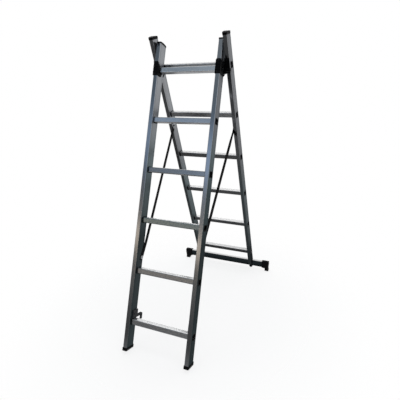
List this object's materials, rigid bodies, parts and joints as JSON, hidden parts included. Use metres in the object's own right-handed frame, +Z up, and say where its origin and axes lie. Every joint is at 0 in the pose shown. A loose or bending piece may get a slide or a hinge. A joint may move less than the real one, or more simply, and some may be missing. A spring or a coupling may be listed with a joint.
{
  "type": "trestle ladder",
  "caption": "Aluminium trestle ladder whose rung sections cross at hinges near the top, held open by webbing straps, with a crossbar that widens the rear stance.",
  "frame": {"origin": "middle of the floor area that the open ladder covers, on the floor", "axes": "+Z up, -Y toward the front section, +X to the right for someone facing the front section"},
  "size_m": [0.732, 1.083, 1.6714],
  "materials": {
    "profile_aluminium": "extruded, satin",
    "rung_aluminium": "extruded, ribbed, satin",
    "black_plastic": "moulded, fine grain",
    "foot_rubber": "moulded, matt",
    "steel": "zinc plated",
    "webbing": "woven webbing"
  },
  "bodies": {
    "rear_section": {"rear_left_stile": "profile_aluminium", "rear_right_stile": "profile_aluminium", "rear_rung_1": "rung_aluminium", "rear_rung_2": "rung_aluminium", "rear_rung_3": "rung_aluminium", "rear_rung_4": "rung_aluminium", "rear_rung_5": "rung_aluminium", "rear_rung_6": "rung_aluminium", "rear_left_cap": "black_plastic", "rear_right_cap": "black_plastic", "left_hinge_plate": "black_plastic", "right_hinge_plate": "black_plastic", "plate_rivets": "steel", "crossbar": "profile_aluminium", "crossbar_left_foot": "black_plastic", "crossbar_right_foot": "black_plastic", "left_clamp_block": "black_plastic", "right_clamp_block": "black_plastic", "crossbar_bolts": "steel", "crossbar_washers": "black_plastic", "crossbar_nuts": "steel", "left_strap": "webbing", "right_strap": "webbing", "rear_strap_rivets": "steel"},
    "front_section": {"front_left_stile": "profile_aluminium", "front_right_stile": "profile_aluminium", "front_rung_1": "rung_aluminium", "front_rung_2": "rung_aluminium", "front_rung_3": "rung_aluminium", "front_rung_4": "rung_aluminium", "front_rung_5": "rung_aluminium", "front_rung_6": "rung_aluminium", "front_left_cap": "black_plastic", "front_right_cap": "black_plastic", "front_left_foot": "foot_rubber", "front_right_foot": "foot_rubber", "left_hinge_saddle": "black_plastic", "right_hinge_saddle": "black_plastic", "saddle_rivets": "steel", "left_hinge_pin": "steel", "right_hinge_pin": "steel", "hinge_pin_caps": "black_plastic", "left_rung_hook": "black_plastic", "right_rung_hook": "black_plastic", "hook_rivets": "steel", "front_strap_rivets": "steel"}
  },
  "joints": [
    {"name": "fold", "type": "hinge", "parent": "rear_section", "child": "front_section", "pos_m": [0, 0.02464, 1.48003], "axis": [1, 0, 0], "range_deg": [0, 35.5], "deforming": ["left_strap", "right_strap"]}
  ]
}
